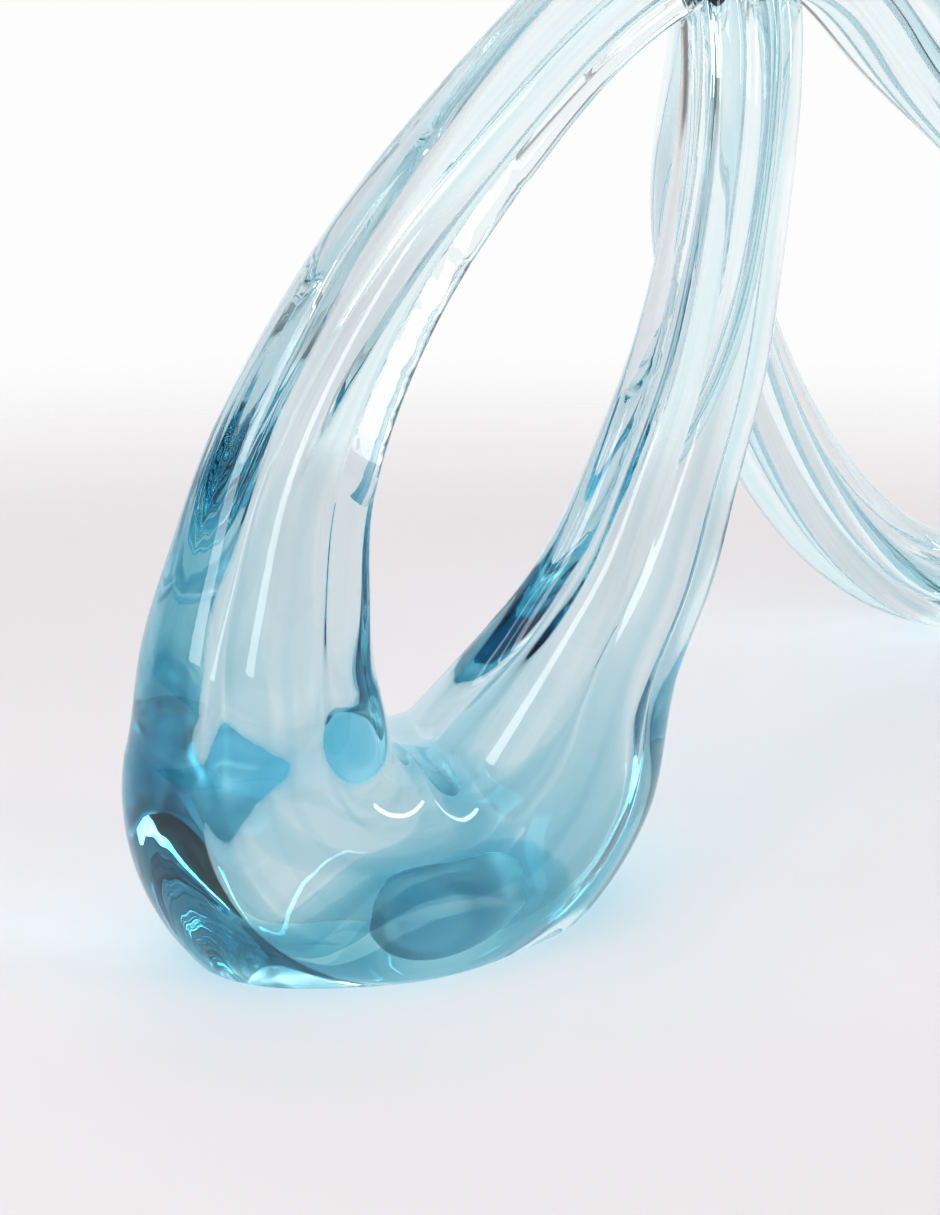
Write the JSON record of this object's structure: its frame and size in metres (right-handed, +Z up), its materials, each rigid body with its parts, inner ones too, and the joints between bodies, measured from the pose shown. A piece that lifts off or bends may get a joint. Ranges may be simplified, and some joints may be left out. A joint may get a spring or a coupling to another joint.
{
  "type": "glass wave sculpture",
  "caption": "Solid hot-drawn glass wave: a heavy rounded foot, a tall leaning loop and a slanted ring behind it.",
  "frame": {"origin": "middle of the ground flat under the foot, on the surface that the sculpture stands on", "axes": "+X along the front loop towards the ring, +Y away from the viewer, +Z up"},
  "size_m": [0.4189, 0.188, 0.3006],
  "materials": {
    "clear_casing": "fire polished",
    "tinted_core": "sealed inside the clear glass"
  },
  "bodies": {
    "root": {"arch_back_strand": "clear_casing", "arch_core": "tinted_core", "arch_front_strand": "clear_casing", "arch_outer_strand": "clear_casing", "foot_back_swell": "clear_casing", "foot_core": "tinted_core", "foot_front_swell": "clear_casing", "foot_sole": "clear_casing", "left_arm_back_strand": "clear_casing", "left_arm_core": "tinted_core", "left_arm_front_strand": "clear_casing", "left_arm_outer_strand": "clear_casing", "right_arm_back_strand": "clear_casing", "right_arm_core": "tinted_core", "right_arm_front_strand": "clear_casing", "right_arm_outer_strand": "clear_casing", "tail_back_strand": "clear_casing", "tail_core": "tinted_core", "tail_front_strand": "clear_casing", "tail_outer_strand": "clear_casing"}
  },
  "joints": []
}
